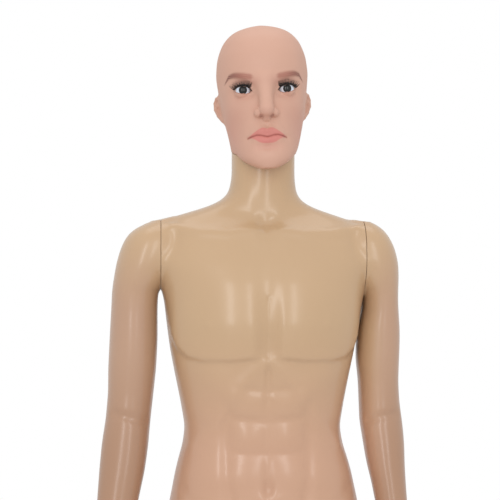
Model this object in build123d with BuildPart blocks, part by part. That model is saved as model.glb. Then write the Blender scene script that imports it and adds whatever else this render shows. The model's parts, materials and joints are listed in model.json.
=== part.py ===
"""Full-size male display mannequin on a square steel base, in millimetres.

Frame: +Z up, the figure faces -Y, and the origin is the middle of the base at floor level.
The figure is made of thin blow-moulded shells that plug together: a head that turns on the
neck, two arms that turn on keyhole pins at the shoulders, two hands that turn on wrist pegs,
and two legs that plug into the hips on keyed tenons. A rod from the base goes up through the
left sole into the leg and holds the figure upright.
"""

import os
from math import cos, pi, sin

from build123d import *

# ---------------------------------------------------------------- driving dimensions
WALL = 3.0  # thickness of the moulded shells
FIT = 0.4  # gap between a shell and the plate set into its open end
GAP = 0.8  # running gap between two pieces that turn on each other
PIN_FIT = 0.05  # radial clearance of a turning pin
PLATE = 6.0  # thickness of the joint plates in the open ends
RING_POINTS = 16  # spline points round one moulded section
PLUMB_Y = 65.0  # the figure's plumb line stands this far behind the middle of the base

MAT_THICK, MAT_INSET, MAT_HOLE_R = 3.0, 2.0, 12.0  # rubber mat under the base plate
BASE_SIDE, BASE_THICK, BASE_CORNER = 380.0, 6.0, 18.0
SOLE = MAT_THICK + BASE_THICK  # height of the soles, on top of the base plate

ROD_X, ROD_Y = 109.0, 12.0  # the support rod, inside the left leg
ROD_R, ROD_TOP, ROD_TUBE_R, ROD_TUBE_TOP = 6.0, 250.0, 10.0, 220.0
ROD_SCREW_R, ROD_SCREW_HEAD_R, ROD_SCREW_DEPTH = 4.0, 8.0, 22.0

SHOULDER_X = {-1: -169.0, 1: 163.5}  # the arm seams; the left arm is set a little further in
SHOULDER_Y, SHOULDER_Z = 4.0, 1470.0  # the axis of both shoulder pins
SHOULDER_R = 100.0  # the seam faces end this far from that axis
PIN_R, PIN_HEAD_R, PIN_HEAD = 7.0, 12.0, 4.0
PIN_FLANGE_R, PIN_FLANGE = 20.0, 3.0
KEYHOLE_RISE = 26.0  # from the pin's seat up to the entry hole

NECK_Y, NECK_Z, NECK_LEAN = 4.0, 1641.0, 12.0  # centre of the neck seam, and its forward lean
NECK_CLEAR_R = 63.0  # the head keeps this far from the neck's axis below the seam
NECK_PEG_R, NECK_PEG = 15.0, 42.0
HEAD_FLANGE_R, HEAD_FLANGE = 32.0, 4.0

HIP_X, HIP_Z, HIP_SLOPE = 10.0, 850.0, 38.0  # the leg seams rise outwards from the crotch
HIP_REACH = 92.0  # along the slope, from the crotch to the tenon
HIP_DEPTH_Y = 10.0  # the tenon stands this far behind the plumb line
TENON_W, TENON_D, TENON_L = 46.0, 26.0, 34.0

WRIST_PEG_R, WRIST_PEG, WRIST_PEG_SEAT = 9.0, 30.0, 14.0
HEAD_YAW, HEAD_ROLL = -2.0, -2.5  # the head looks slightly to its right and leans that way
HEAD_X = 3.5  # and stands this far to its left on the neck
EYE_X, EYE_Y, EYE_HEIGHT, EYE_R = 35.3, -81.5, 93.0, 12.0
EAR_X, EAR_Y, EAR_HEIGHT = 72.0, 10.0, 78.0
LASH_RISE, LASH_TILT, LASH_IN_R, LASH_OUT_R = 5.5, -14.0, 12.6, 20.0
LASH_HALF_W, LASH_THICK, LASH_GAP = 11.0, 0.8, 0.3
SCREW_R, SCREW_HEAD_R, SCREW_HEAD = 1.9, 3.6, 2.0

# Moulded sections: height, middle x, half width, front y, back y, from the plumb line.
TORSO_ROWS = [
    (838, 0, 158, -88, 104),
    (900, 0, 165, -97, 120),
    (960, 0, 166, -101, 124),
    (1020, 0, 162, -100, 112),
    (1070, 0, 154, -99, 98),
    (1116, -1, 143, -97, 88),
    (1160, -2, 131, -95, 84),
    (1190, -2.5, 127, -95, 85),
    (1232, -2.5, 134, -100, 91),
    (1275, -2.5, 142, -108, 98),
    (1320, -2, 150.5, -118, 106),
    (1362, -1, 157.5, -121, 111),
    (1398, 0, 164, -117, 114),
    (1424, 0, 172, -110, 114),
    (1452, 0, 186, -99, 111),
    (1486, 0, 192, -84, 104),
    (1508, 0, 186, -71, 97),
    (1522, 0, 172, -61, 91),
    (1533, 0, 143, -55, 87),
    (1545, 0, 104, -51, 82),
    (1558, 0, 75, -49, 76),
    (1574, 0, 59, -49, 70),
    (1600, 0, 53, -50, 64),
    (1640, 0, 52, -52, 58),
    (1670, 0, 52, -54, 54),
]
RIGHT_ARM_ROWS = [
    (1525, -170, 16, -26, 34),
    (1517, -174, 33, -42, 52),
    (1502, -180, 44, -54, 62),
    (1482, -185, 49, -60, 67),
    (1456, -193, 49, -60, 67),
    (1430, -203, 44, -56, 62),
    (1411, -212, 38, -51, 58),
    (1380, -213, 38, -48, 56),
    (1330, -214, 39, -46, 55),
    (1285, -216, 39, -45, 51),
    (1245, -218, 37, -44, 45),
    (1200, -222, 36, -46, 40),
    (1160, -227, 37, -53, 32),
    (1120, -232, 36, -60, 20),
    (1075, -238, 33, -66, 4),
    (1030, -243, 30, -72, -14),
    (985, -248, 28, -80, -34),
    (950, -252, 28, -86, -44),
    (920, -255, 28, -92, -50),
]
LEFT_ARM_ROWS = [  # its forearm turns its narrower side to the front
    (1525, 166, 14, -26, 34),
    (1517, 169, 27, -42, 52),
    (1502, 172, 35, -54, 62),
    (1482, 176, 40, -60, 67),
    (1456, 181, 41.5, -60, 67),
    (1430, 187, 37.5, -56, 62),
    (1411, 195, 29.5, -51, 58),
    (1380, 195, 29.5, -48, 56),
    (1350, 193.5, 30.5, -47, 55.5),
    (1325, 191, 33.5, -46, 55),
    (1297, 190, 33.5, -45.5, 52),
    (1264, 191, 32, -44.5, 48.5),
    (1231, 192, 32.5, -45.5, 45),
    (1198, 193.5, 33.5, -48, 42),
    (1165, 196, 31.5, -54, 35),
    (1132, 198.5, 29.5, -60, 24),
    (1099, 203, 27, -66, 12),
    (1060, 207, 25, -72.5, -4),
    (1020, 211, 23.5, -78.5, -20),
    (985, 214.5, 22.5, -84, -32),
    (950, 217.5, 21.5, -92, -38),
    (920, 220, 21.5, -98, -44),
]
LEG_ROWS = [  # the left leg; the right one is its mirror image
    (1000, 84, 80, -94, 114),
    (950, 85, 80, -93, 117),
    (900, 86, 79, -90, 114),
    (850, 88, 79, -88, 103),
    (780, 92, 76, -85, 91),
    (700, 96, 70, -80, 80),
    (620, 99, 62, -74, 68),
    (560, 101, 56, -68, 58),
    (515, 102, 53, -65, 53),
    (470, 103, 52, -58, 57),
    (420, 104, 56, -52, 68),
    (365, 105, 57, -48, 74),
    (300, 106, 50, -44, 66),
    (230, 107, 41, -40, 51),
    (170, 108, 35, -38, 42),
    (125, 109, 33, -40, 42),
    (95, 109, 35, -50, 48),
]
FOOT_ROWS = [
    (95, 109, 35, -50, 48),
    (75, 109, 38, -78, 53),
    (58, 109, 41, -112, 57),
    (42, 110, 44, -152, 60),
    (28, 110, 46, -190, 61),
    (16, 110, 46, -203, 60),
    (SOLE, 110, 44, -200, 57),
]
# Head sections, upwards from the seam centre in the head's own frame.
HEAD_ROWS = [
    (-29, 0, 22, -100, -60),
    (-18, 0, 39, -104, -22),
    (-4, 0, 53, -104, 42),
    (14, 0, 57.5, -103, 64),
    (38, 0, 63.5, -100, 79),
    (66, 0, 69.5, -99, 90),
    (98, 0, 73.5, -98, 96),
    (128, 0, 76.5, -100, 98),
    (156, 0, 74, -96, 94),
    (180, 0, 65, -85, 81),
    (197, 0, 49.5, -66, 62),
    (206, 0, 31, -43, 39),
    (209.5, 0, 15, -27, 23),
]
NOSE_ROWS = [
    (53, 0, 14, -112, -90),
    (60, 0, 19, -122, -90),
    (72, 0, 14, -121, -90),
    (88, 0, 10, -109, -90),
    (106, 0, 9, -102, -88),
]
# Hand sections, down from the wrist seam: distance, middle across, half width, front, back.
PALM_ROWS = [
    (GAP, 0, 27, -21, 21),
    (16, 0, 28, -19, 20),
    (34, 1, 34, -17, 18),
    (60, 2, 41, -15, 16),
    (86, 1, 42, -14, 14),
    (99, 0, 38, -12, 11),
]
# Index, middle, ring and little finger: thumbward offset, length from the knuckle, tip radius.
FINGERS = [(30, 74, 6.8), (10, 82, 7.0), (-10, 76, 6.8), (-30, 60, 6.0)]
FINGER_BENDS = [(0, 0), (0.45, 0.12), (0.75, 0.45), (1, 1)]  # share of the length and of the curl
KNUCKLE, FINGER_CURL, FINGER_RADII = 88.0, 24.0, [8.7, 8.3, 7.7]
THUMB = [(15, -2, 18), (36, -9, 48), (50, -15, 76), (57, -19, 98)]
THUMB_RADII = [11.0, 12.5, 10.0, 8.0]
TIP_STEPS = [(0.5, 0.866), (0.86, 0.51), (0.98, 0.2)]  # a finger tip: share of its radius on, and across


# ---------------------------------------------------------------- shape helpers
def ring(row, inset, squareness):
    """Points round one section, an ellipse squared off a little, drawn in by inset."""
    _, middle, half_width, front, back = row
    across, along = half_width - inset, (back - front) / 2 - inset
    power = 2 / squareness
    points = []
    for step in range(RING_POINTS):
        c, s = cos(2 * pi * step / RING_POINTS), sin(2 * pi * step / RING_POINTS)
        x = across * abs(c) ** power * (1 if c >= 0 else -1)
        y = along * abs(s) ** power * (1 if s >= 0 else -1)
        points.append((middle + x, (front + back) / 2 + y))
    return points


figure = Plane(origin=(0, PLUMB_Y, 0))  # its Z axis is the figure's plumb line


def moulding(rows, inset=0.0, squareness=2.25, frame=figure):
    """A smooth solid through the sections of rows, drawn in by inset on every side."""
    with BuildPart() as body:
        for row in rows:
            with BuildSketch(frame.offset(row[0])):
                with BuildLine():
                    Spline(*ring(row, inset, squareness), periodic=True)
                make_face()
        loft()
    return body.part


def raised_end(rows, which, rise):
    """rows with the section at index which moved by rise, so that a closed end keeps its wall."""
    height, *section = rows[which]
    changed = list(rows)
    changed[which] = (height + rise, *section)
    return changed


def mirrored_rows(rows):
    """The same sections on the other side of the figure."""
    return [(height, -middle, width, front, back) for height, middle, width, front, back in rows]


def slab(frame, thickness, size=700.0):
    """A wide slab that stands on frame and is thickness deep along its normal."""
    with BuildPart(frame) as plate:
        Box(size, size, thickness, align=(Align.CENTER, Align.CENTER, Align.MIN))
    return plate.part


def rod(frame, radius, start, end):
    """A cylinder about the frame's normal, from start to end along it."""
    with BuildPart(frame.offset(start)) as cylinder:
        Cylinder(radius, end - start, align=(Align.CENTER, Align.CENTER, Align.MIN))
    return cylinder.part


def save(part, name):
    """Writes one node."""
    part.label = name
    export_step(part, f"parts/{name}.step")


# ---------------------------------------------------------------- joint planes
def shoulder_plane(side):
    """Lies in the shoulder seam, its normal pointing out of the torso."""
    centre = (SHOULDER_X[side], PLUMB_Y + SHOULDER_Y, SHOULDER_Z)
    return Plane(origin=centre, x_dir=(0, side, 0), z_dir=(side, 0, 0))


def hip_plane(side):
    """Lies in the leg seam, centred on the tenon, its normal pointing down and outwards."""
    slope = HIP_SLOPE * pi / 180
    centre = (
        side * (HIP_X + HIP_REACH * cos(slope)),
        PLUMB_Y + HIP_DEPTH_Y,
        HIP_Z + HIP_REACH * sin(slope),
    )
    return Plane(origin=centre, x_dir=(0, 1, 0), z_dir=(side * sin(slope), 0, -cos(slope)))


def neck_seam():
    """Lies in the neck seam, its normal pointing up the neck."""
    lean = NECK_LEAN * pi / 180
    return Plane(origin=(0, PLUMB_Y + NECK_Y, NECK_Z), x_dir=(1, 0, 0), z_dir=(0, -sin(lean), cos(lean)))


def section_centre(row):
    height, middle, _, front, back = row
    return Vector(middle, PLUMB_Y + (front + back) / 2, height)


def wrist_plane(rows, thumbward):
    """Lies in the wrist seam, its normal pointing down the forearm and its x axis to the thumb."""
    elbow, wrist = section_centre(rows[-8]), section_centre(rows[-2])
    return Plane(origin=wrist, x_dir=thumbward, z_dir=wrist - elbow)


neck_plane = neck_seam()
head_frame = Plane(origin=(HEAD_X, PLUMB_Y + NECK_Y, NECK_Z)).rotated((0, HEAD_ROLL, HEAD_YAW))


# ---------------------------------------------------------------- torso
def make_torso():
    inside_rows = raised_end(TORSO_ROWS, 0, WALL)
    with BuildPart() as torso_shell:
        add(moulding(TORSO_ROWS))
        add(moulding(inside_rows, WALL), mode=Mode.SUBTRACT)
        for side in (-1, 1):
            split(bisect_by=shoulder_plane(side), keep=Keep.BOTTOM)
            split(bisect_by=hip_plane(side), keep=Keep.BOTTOM)
        split(bisect_by=neck_plane, keep=Keep.BOTTOM)
    save(torso_shell.part, "torso_shell")
    return moulding(inside_rows, WALL + FIT)


def make_shoulder_socket(torso_core, side, word):
    """Keyhole plate in the torso's side opening; the arm's pin drops into its round seat."""
    back_face = shoulder_plane(side).offset(-PLATE)
    with BuildPart() as socket:
        add(torso_core)
        add(slab(back_face, PLATE), mode=Mode.INTERSECT)
        with BuildSketch(back_face):
            Circle(PIN_R + PIN_FIT)
            with Locations((0, KEYHOLE_RISE)):
                Circle(PIN_HEAD_R + 1.5)
            with Locations((0, KEYHOLE_RISE / 2)):
                Rectangle(2 * (PIN_R + PIN_FIT), KEYHOLE_RISE)
        extrude(amount=PLATE, mode=Mode.SUBTRACT)
    save(socket.part, f"{word}_shoulder_socket")


def make_neck_socket(torso_core):
    """Plate in the neck's top opening with the tube that the head's peg turns in."""
    tube_wall = 5.0
    with BuildPart() as socket:
        add(torso_core)
        add(slab(neck_plane.offset(-PLATE), PLATE), mode=Mode.INTERSECT)
        add(rod(neck_plane, NECK_PEG_R + tube_wall, -NECK_PEG - PLATE, -PLATE))
        add(rod(neck_plane, NECK_PEG_R + PIN_FIT, -NECK_PEG - 2 * PLATE, PLATE), mode=Mode.SUBTRACT)
    save(socket.part, "neck_socket")


def make_hip_socket(torso_core, side, word):
    """Plate in the torso's leg opening with the square hole that keys the leg's tenon."""
    seam = hip_plane(side)
    with BuildPart() as socket:
        add(torso_core)
        add(slab(seam.offset(-PLATE), PLATE), mode=Mode.INTERSECT)
        split(bisect_by=Plane(origin=(side * HIP_X, 0, 0), z_dir=(side, 0, 0)), keep=Keep.TOP)
        with BuildSketch(seam.offset(-PLATE)):
            RectangleRounded(TENON_W + 2 * FIT, TENON_D + 2 * FIT, 3)
        extrude(amount=PLATE, mode=Mode.SUBTRACT)
    save(socket.part, f"{word}_hip_socket")


# ---------------------------------------------------------------- legs and base
def make_leg(side, word):
    """A hollow leg and foot, cut at the hip seam, with the keyed plug in its open top."""
    rows = LEG_ROWS if side > 0 else mirrored_rows(LEG_ROWS)
    foot = FOOT_ROWS if side > 0 else mirrored_rows(FOOT_ROWS)
    seam = hip_plane(side)
    with BuildPart() as leg_shell:
        add(moulding(rows))
        add(moulding(foot))
        add(moulding(rows, WALL), mode=Mode.SUBTRACT)
        add(moulding(raised_end(foot, -1, WALL), WALL), mode=Mode.SUBTRACT)
        split(bisect_by=seam, keep=Keep.TOP)
        if side > 0:
            add(rod(rod_axis, ROD_TUBE_R + FIT, 0, SOLE + 2 * WALL), mode=Mode.SUBTRACT)
    save(leg_shell.part, f"{word}_leg_shell")
    with BuildPart() as leg_plug:
        add(moulding(rows, WALL + FIT))
        add(slab(seam, PLATE), mode=Mode.INTERSECT)
        with BuildSketch(seam):
            RectangleRounded(TENON_W, TENON_D, 2.5)
        extrude(amount=-TENON_L)
    save(leg_plug.part, f"{word}_leg_plug")


rod_axis = Plane(origin=(ROD_X, PLUMB_Y + ROD_Y, 0))


def make_base():
    """Steel plate on a rubber mat, with the rod that stands in the left leg."""
    with BuildPart() as base_plate:
        with BuildSketch(Plane.XY.offset(MAT_THICK)):
            RectangleRounded(BASE_SIDE, BASE_SIDE, BASE_CORNER)
        extrude(amount=BASE_THICK)
        chamfer(base_plate.faces().sort_by(Axis.Z)[-1].edges(), 1.0)
        underside = Plane(origin=(ROD_X, PLUMB_Y + ROD_Y, MAT_THICK), z_dir=(0, 0, -1))
        with Locations(underside):
            CounterSinkHole(ROD_SCREW_R + FIT, ROD_SCREW_HEAD_R + FIT)
    save(base_plate.part, "base_plate")

    with BuildPart() as base_mat:
        with BuildSketch():
            RectangleRounded(BASE_SIDE - 2 * MAT_INSET, BASE_SIDE - 2 * MAT_INSET, BASE_CORNER - MAT_INSET)
            with Locations((ROD_X, PLUMB_Y + ROD_Y)):
                Circle(MAT_HOLE_R, mode=Mode.SUBTRACT)
        extrude(amount=MAT_THICK)
    save(base_mat.part, "base_mat")

    with BuildPart(rod_axis.offset(SOLE)) as support_rod:
        Cylinder(ROD_R, ROD_TOP - SOLE, align=(Align.CENTER, Align.CENTER, Align.MIN))
        chamfer(support_rod.edges().group_by(Axis.Z)[-1], 1.5)
        Cylinder(ROD_SCREW_R + PIN_FIT, ROD_SCREW_DEPTH + 1, align=(Align.CENTER, Align.CENTER, Align.MIN),
                 mode=Mode.SUBTRACT)
    save(support_rod.part, "support_rod")

    with BuildPart(rod_axis.offset(MAT_THICK)) as rod_screw:
        Cone(ROD_SCREW_HEAD_R, ROD_SCREW_R, ROD_SCREW_HEAD_R - ROD_SCREW_R,
             align=(Align.CENTER, Align.CENTER, Align.MIN))
        Cylinder(ROD_SCREW_R, BASE_THICK + ROD_SCREW_DEPTH - 2, align=(Align.CENTER, Align.CENTER, Align.MIN))
        with BuildSketch(rod_axis.offset(MAT_THICK)):
            RegularPolygon(2.9, 6)
        extrude(amount=3, mode=Mode.SUBTRACT)
    save(rod_screw.part, "rod_screw")

    with BuildPart() as rod_tube:
        add(rod(rod_axis, ROD_TUBE_R, SOLE, ROD_TUBE_TOP))
        add(rod(rod_axis, ROD_R + FIT, 0, ROD_TUBE_TOP + 1), mode=Mode.SUBTRACT)
    save(rod_tube.part, "rod_tube")


# ---------------------------------------------------------------- arms
def make_shoulder_pin(side, word):
    """Mushroom-headed steel pin on a flange, and the three screws that hold it to the arm's plate."""
    seam = shoulder_plane(side)
    arm_face = GAP + PLATE
    with BuildPart() as pin:
        add(rod(seam, PIN_FLANGE_R, arm_face, arm_face + PIN_FLANGE))
        add(rod(seam, PIN_R, -PLATE - GAP - PIN_HEAD, arm_face))
        add(rod(seam, PIN_HEAD_R, -PLATE - GAP - PIN_HEAD, -PLATE - GAP))
        with BuildSketch(seam.offset(arm_face)):
            with PolarLocations(PIN_FLANGE_R - 6, 3):
                Circle(SCREW_R + 0.1)
        extrude(amount=PIN_FLANGE, mode=Mode.SUBTRACT)
    save(pin.part, f"{word}_shoulder_pin")
    with BuildPart() as screws:
        with BuildSketch(seam.offset(arm_face - 4)):
            with PolarLocations(PIN_FLANGE_R - 6, 3):
                Circle(SCREW_R)
        extrude(amount=4 + PIN_FLANGE)
        with BuildSketch(seam.offset(arm_face + PIN_FLANGE)):
            with PolarLocations(PIN_FLANGE_R - 6, 3):
                Circle(SCREW_HEAD_R)
        extrude(amount=SCREW_HEAD)
    save(screws.part, f"{word}_shoulder_screws")


def make_arm(rows, side, word, seam, wrist):
    """A hollow arm cut at the shoulder and the wrist, with a plate in each open end."""
    inner_rows = raised_end(rows, 0, -WALL)
    with BuildPart() as arm_shell:
        add(moulding(rows))
        add(moulding(inner_rows, WALL), mode=Mode.SUBTRACT)
        add(rod(seam, SHOULDER_R, -2 * SHOULDER_R, GAP), mode=Mode.SUBTRACT)
        split(bisect_by=wrist, keep=Keep.BOTTOM)
    save(arm_shell.part, f"{word}_arm_shell")
    arm_core = moulding(inner_rows, WALL + FIT)
    with BuildPart() as shoulder_plate:
        add(arm_core)
        add(rod(seam, SHOULDER_R, GAP, GAP + PLATE), mode=Mode.INTERSECT)
        add(rod(seam, PIN_R + PIN_FIT, 0, GAP + PLATE), mode=Mode.SUBTRACT)
        with BuildSketch(seam.offset(GAP + PLATE - 4.5)):
            with PolarLocations(PIN_FLANGE_R - 6, 3):
                Circle(SCREW_R + 0.05)
        extrude(amount=4.5, mode=Mode.SUBTRACT)
    save(shoulder_plate.part, f"{word}_arm_plate")
    tube_wall = 3.0
    with BuildPart() as wrist_socket:
        add(arm_core)
        add(slab(wrist.offset(-PLATE), PLATE), mode=Mode.INTERSECT)
        add(rod(wrist, WRIST_PEG_R + tube_wall, -WRIST_PEG - PLATE, -PLATE))
        add(rod(wrist, WRIST_PEG_R + PIN_FIT, -WRIST_PEG - 2 * PLATE, PLATE), mode=Mode.SUBTRACT)
    save(wrist_socket.part, f"{word}_wrist_socket")


def finger(points, radii):
    """A tapering finger with a round tip, through points in the hand's frame."""
    places = [Vector(*point) for point in points]
    spans = [after - before for before, after in zip(places, places[1:])]
    ways = [spans[0], *[before + after for before, after in zip(spans, spans[1:])], spans[-1]]
    tip, onward = places[-1], spans[-1].normalized()
    for step, share in TIP_STEPS:
        places.append(tip + onward * radii[-1] * step)
        ways.append(onward)
    widths = [*radii, *[radii[-1] * share for _, share in TIP_STEPS]]
    with BuildPart() as digit:
        for place, way, width in zip(places, ways, widths):
            with BuildSketch(Plane(origin=place, z_dir=way)):
                Circle(width)
        loft(ruled=True)
    return digit.part


def make_hand():
    """A relaxed right hand and its peg, hanging down +Z from the wrist with the thumb to +X."""
    with BuildPart() as hand:
        add(moulding(PALM_ROWS, squareness=2.4, frame=Plane.XY))
        for across, length, tip_r in FINGERS:
            points = [
                (across, -FINGER_CURL * curl, KNUCKLE + length * reach) for reach, curl in FINGER_BENDS
            ]
            add(finger(points, [*FINGER_RADII, tip_r]))
        add(finger(THUMB, THUMB_RADII))
        add(rod(Plane.XY, WRIST_PEG_R, 0, WRIST_PEG_SEAT), mode=Mode.SUBTRACT)
    with BuildPart() as peg:
        add(rod(Plane.XY, WRIST_PEG_R, -WRIST_PEG, WRIST_PEG_SEAT))
        chamfer(peg.edges().group_by(Axis.Z)[0], 1.0)
    return hand.part, peg.part


# ---------------------------------------------------------------- head
def make_head():
    """A hollow head with eye sockets, closed underneath where it sits on the neck."""
    inner_rows = raised_end(raised_end(HEAD_ROWS, 0, WALL), -1, -WALL)
    seam = neck_plane.offset(GAP)
    with BuildPart() as hollow:
        add(moulding(inner_rows, WALL, frame=head_frame))
        add(rod(seam, NECK_CLEAR_R + WALL, -120, WALL), mode=Mode.SUBTRACT)
    with BuildPart() as head_shell:
        add(moulding(HEAD_ROWS, frame=head_frame))
        add(moulding(NOSE_ROWS, frame=head_frame))
        for side in (-1, 1):
            add(ear(side))
        add(hollow.part, mode=Mode.SUBTRACT)
        add(rod(seam, NECK_CLEAR_R, -120, 0), mode=Mode.SUBTRACT)
        add(rod(seam, NECK_PEG_R + FIT, 0, 2 * WALL), mode=Mode.SUBTRACT)
        for side in (-1, 1):
            with Locations(eye_centre(side)):
                Sphere(EYE_R + FIT, mode=Mode.SUBTRACT)
        with BuildSketch(seam):
            with PolarLocations(HEAD_FLANGE_R - 8, 4):
                Circle(SCREW_R + 0.05)
        extrude(amount=WALL, mode=Mode.SUBTRACT)
    save(head_shell.part, "head_shell")


def eye_centre(side):
    return head_frame.from_local_coords(Vector(side * EYE_X, EYE_Y, EYE_HEIGHT))


def ear(side):
    """A flat rounded ear set against the side of the head and leaning back."""
    centre = head_frame.from_local_coords(Vector(side * EAR_X, EAR_Y, EAR_HEIGHT))
    outward = head_frame.from_local_coords(Vector(side * (EAR_X + 1), EAR_Y + 0.45, EAR_HEIGHT)) - centre
    upward = head_frame.from_local_coords(Vector(side * EAR_X, EAR_Y + 0.2, EAR_HEIGHT + 1)) - centre
    with BuildPart() as shell:
        with BuildSketch(Plane(origin=centre, x_dir=upward, z_dir=outward).offset(-8)):
            Ellipse(26, 14)
        extrude(amount=14)
        fillet(shell.edges(), 4.5)
    return shell.part


def make_eyes():
    """Round eyes seated in the head, and the lash strips that stand out over them."""
    face = moulding(HEAD_ROWS, -LASH_GAP, frame=Plane.XY)
    for side, word in ((-1, "right"), (1, "left")):
        with BuildPart() as eye:
            with Locations(eye_centre(side)):
                Sphere(EYE_R)
        save(eye.part, f"{word}_eye")
        above = (side * EYE_X, EYE_Y, EYE_HEIGHT + LASH_RISE)
        with BuildPart() as lash:
            with BuildSketch(Plane(origin=above).rotated((LASH_TILT, 0, 0))):
                Circle(LASH_OUT_R)
                Circle(LASH_IN_R, mode=Mode.SUBTRACT)
            extrude(amount=LASH_THICK)
            with Locations(above):
                Box(2 * LASH_HALF_W, LASH_OUT_R, LASH_OUT_R, align=(Align.CENTER, Align.MAX, Align.CENTER),
                    mode=Mode.INTERSECT)
            add(face, mode=Mode.SUBTRACT)
        save(head_frame.location * lash.part, f"{word}_eyelash")


def make_head_peg():
    """Flanged peg under the head, which turns in the neck, and its four screws."""
    floor = GAP + WALL
    with BuildPart() as peg:
        add(rod(neck_plane, HEAD_FLANGE_R, floor, floor + HEAD_FLANGE))
        add(rod(neck_plane, NECK_PEG_R, -NECK_PEG, floor))
        with BuildSketch(neck_plane.offset(floor)):
            with PolarLocations(HEAD_FLANGE_R - 8, 4):
                Circle(SCREW_R + 0.1)
        extrude(amount=HEAD_FLANGE, mode=Mode.SUBTRACT)
    save(peg.part, "head_peg")
    with BuildPart() as screws:
        with BuildSketch(neck_plane.offset(GAP)):
            with PolarLocations(HEAD_FLANGE_R - 8, 4):
                Circle(SCREW_R)
        extrude(amount=WALL + HEAD_FLANGE)
        with BuildSketch(neck_plane.offset(floor + HEAD_FLANGE)):
            with PolarLocations(HEAD_FLANGE_R - 8, 4):
                Circle(SCREW_HEAD_R)
        extrude(amount=SCREW_HEAD)
    save(screws.part, "head_peg_screws")


# ---------------------------------------------------------------- build
os.makedirs("parts", exist_ok=True)
torso_core = make_torso()
make_neck_socket(torso_core)
for side, word in ((-1, "right"), (1, "left")):
    make_shoulder_socket(torso_core, side, word)
    make_shoulder_pin(side, word)
    make_hip_socket(torso_core, side, word)
    make_leg(side, word)
right_wrist = wrist_plane(RIGHT_ARM_ROWS, (1, 0, 0))
left_wrist = wrist_plane(LEFT_ARM_ROWS, (0, -1, 0))
make_arm(RIGHT_ARM_ROWS, -1, "right", shoulder_plane(-1), right_wrist)
make_arm(LEFT_ARM_ROWS, 1, "left", shoulder_plane(1), left_wrist)
hand, peg = make_hand()
save(right_wrist.location * hand, "right_hand")
save(right_wrist.location * peg, "right_hand_peg")
save(left_wrist.location * mirror(hand, about=Plane.XZ), "left_hand")
save(left_wrist.location * peg, "left_hand_peg")
make_head()
make_eyes()
make_head_peg()
make_base()
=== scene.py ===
"""Looks of a full-size male display mannequin: glossy moulded body, matte painted head.

Every sculpted piece is the zero surface of a distance-like field worked out on a grid, in
millimetres, with the figure's plumb line as the origin of x and y and the floor as z = 0.
Neighbouring pieces come from one shared field and are cut at the joint planes of the CAD
frame, so that their outlines meet in the seams. The figure faces -y.
"""

import json
import math

import bmesh
import bpy
import numpy as np
from mathutils import Matrix, Vector


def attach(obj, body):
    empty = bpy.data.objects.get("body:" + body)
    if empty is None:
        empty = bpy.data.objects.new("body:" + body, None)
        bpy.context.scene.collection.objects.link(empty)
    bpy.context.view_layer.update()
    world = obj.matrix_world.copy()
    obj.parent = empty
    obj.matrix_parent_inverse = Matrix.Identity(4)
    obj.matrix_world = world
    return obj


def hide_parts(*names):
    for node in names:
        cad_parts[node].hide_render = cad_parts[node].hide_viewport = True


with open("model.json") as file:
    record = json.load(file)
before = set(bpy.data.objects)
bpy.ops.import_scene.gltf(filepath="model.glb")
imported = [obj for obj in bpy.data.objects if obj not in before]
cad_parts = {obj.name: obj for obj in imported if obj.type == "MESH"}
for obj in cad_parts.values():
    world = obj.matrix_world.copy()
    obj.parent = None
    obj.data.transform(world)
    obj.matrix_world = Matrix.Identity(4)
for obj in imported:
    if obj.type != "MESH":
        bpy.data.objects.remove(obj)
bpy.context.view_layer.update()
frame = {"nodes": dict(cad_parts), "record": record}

# Sizes in millimetres unless they are multiplied by MM. Angles in radians.
MM = 0.001
PLUMB_Y = 65.0  # the figure stands this far behind the middle of its base
SEAM_X = {-1: -169.0, 1: 163.5}  # the arm seams
NECK_Y, NECK_Z, NECK_LEAN = 4.0, 1641.0, math.radians(12)
HEAD_X = 3.5  # the head stands this far to its left on the neck
HIP_X, HIP_Z, HIP_SLOPE = 10.0, 850.0, math.radians(38)
HEAD_YAW, HEAD_ROLL = math.radians(-2.0), math.radians(-2.5)
GAP = 0.8  # between the two sides of a moving joint
FLOOR = 9.0  # top of the base plate
MOUTH, RECESS, RIB = 3.2 * MM, 13.0 * MM, 0.55 * MM  # rim of an open shell, its depth, its lip
WRIST_MOUTH = 2.6 * MM
SHOULDER_FROM, ARMPIT_FROM = 1200 * MM, 1387 * MM  # the arm seams cut the torso and the arms above these
HIP_OVER, HIP_UNDER = 0.4, 0.3  # the torso stops above the hip seam and the legs below it
LEGS_APART = 2.0  # from the middle to each leg's inner face
TORSO_SQUARE, ARM_SQUARE, LEG_SQUARE = 2.35, 2.2, 2.25  # 2 is an ellipse, more is squarer

# ------------------------------------------------------------------ fields
# Sections of each part: height, middle, half width, front, back.
TORSO = [
    (838, 0, 158, -88, 104), (900, 0, 165, -97, 120), (960, 0, 166, -101, 124),
    (1020, 0, 162, -100, 112), (1070, 0, 154, -99, 98), (1116, -1, 143, -97, 88),
    (1160, -2, 131, -95, 84), (1190, -2.5, 127, -95, 85), (1232, -2.5, 134, -100, 91),
    (1275, -2.5, 142, -106, 98), (1320, -2, 150.5, -112, 106), (1362, -1, 157.5, -116, 111),
    (1398, 0, 163.5, -114, 114), (1424, 0, 171, -109, 114), (1452, 0, 186, -99, 111),
    (1486, 0, 192, -84, 104), (1508, -2, 185, -71, 97), (1522, -7, 169, -61, 91),
    (1533, -11, 147, -55, 87), (1545, -8, 101, -51, 82), (1558, -4, 69, -49, 76),
    (1574, -1, 56, -49, 70), (1600, 0, 52, -50, 64), (1640, 0, 52, -52, 58),
    (1670, 0, 52, -54, 54), (1700, 0, 52, -56, 50),
]
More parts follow.
